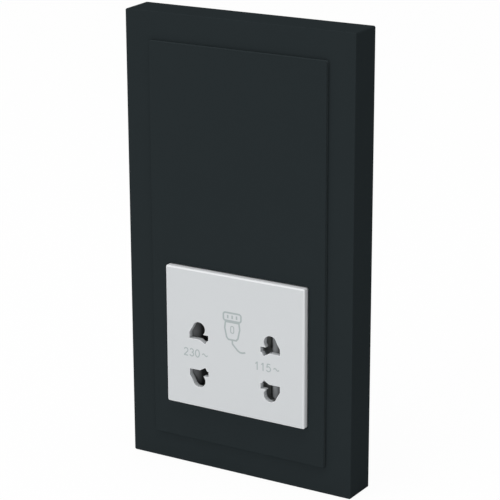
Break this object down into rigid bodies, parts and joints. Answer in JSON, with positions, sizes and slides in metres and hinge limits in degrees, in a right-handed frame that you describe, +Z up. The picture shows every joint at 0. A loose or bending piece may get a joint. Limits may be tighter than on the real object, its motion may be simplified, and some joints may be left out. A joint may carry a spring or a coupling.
{
  "type": "shaver socket",
  "caption": "Flush shaver supply socket for a two-gang wall box: dark cover frame and plate, silver dual-voltage outlet face with shuttered pin openings, isolating transformer behind",
  "frame": {"origin": "midway between the two wall-box screw holes, on the wall plane", "axes": "+Z up along the two screw holes, -Y out of the wall towards the user, +X right as the user sees it"},
  "size_m": [0.086, 0.0495, 0.157],
  "materials": {
    "dark_plastic": "anthracite thermoplastic, fine satin texture",
    "silver_plastic": "aluminium-coloured lacquer on plastic, satin",
    "shutter_grey": "mid-grey moulded plastic",
    "black_moulding": "black glass-filled moulding",
    "housing_plastic": "light grey moulded plastic",
    "red_plastic": "red moulded plunger",
    "bobbin_nylon": "natural nylon",
    "spring_steel": "bright spring strip",
    "zinc_steel": "zinc-plated sheet steel",
    "core_steel": "varnished electrical laminations",
    "contact_brass": "formed brass strip",
    "enamelled_copper": "enamelled copper wire under varnish"
  },
  "bodies": {
    "base": {"cover_frame": "dark_plastic", "insert_plate": "dark_plastic", "socket_face": "silver_plastic", "contact_carrier": "housing_plastic", "shutter_spring_230v": "spring_steel", "shutter_spring_115v": "spring_steel", "switch_230v": "black_moulding", "switch_115v": "black_moulding", "contact_230v_upper": "contact_brass", "contact_230v_lower": "contact_brass", "contact_115v_upper": "contact_brass", "contact_115v_lower": "contact_brass", "support_frame": "zinc_steel", "rear_housing": "housing_plastic", "housing_screws": "zinc_steel", "core_e_stack": "core_steel", "core_i_stack": "core_steel", "transformer_bobbin": "bobbin_nylon", "primary_winding": "enamelled_copper", "secondary_winding": "enamelled_copper", "core_clamp": "zinc_steel", "clamp_screws": "zinc_steel", "thermal_cutout": "bobbin_nylon", "terminal_block": "black_moulding", "terminal_live": "contact_brass", "terminal_neutral": "contact_brass", "terminal_earth": "contact_brass", "terminal_screws": "zinc_steel"},
    "left_shutter": {"shutter_230v": "shutter_grey"},
    "right_shutter": {"shutter_115v": "shutter_grey"},
    "left_plunger": {"plunger_230v": "red_plastic"},
    "right_plunger": {"plunger_115v": "red_plastic"}
  },
  "joints": [
    {"name": "left_shutter_slide", "type": "slide", "parent": "base", "child": "left_shutter", "axis": [-1, 0, 0], "range_m": [0, 0.00605], "stiffness_N_per_m": 60, "springref_m": -0.006, "deforming": ["shutter_spring_230v"]},
    {"name": "right_shutter_slide", "type": "slide", "parent": "base", "child": "right_shutter", "axis": [1, 0, 0], "range_m": [0, 0.00605], "stiffness_N_per_m": 60, "springref_m": -0.006, "deforming": ["shutter_spring_115v"]},
    {"name": "left_plunger_slide", "type": "slide", "parent": "base", "child": "left_plunger", "axis": [0, 1, 0], "range_m": [0, 0.00122]},
    {"name": "right_plunger_slide", "type": "slide", "parent": "base", "child": "right_plunger", "axis": [0, 1, 0], "range_m": [0, 0.00122]}
  ],
  "couplings": [
    {"joint": "left_plunger_slide", "follows": "left_shutter_slide", "ratio": 0.2},
    {"joint": "right_plunger_slide", "follows": "right_shutter_slide", "ratio": 0.2}
  ]
}
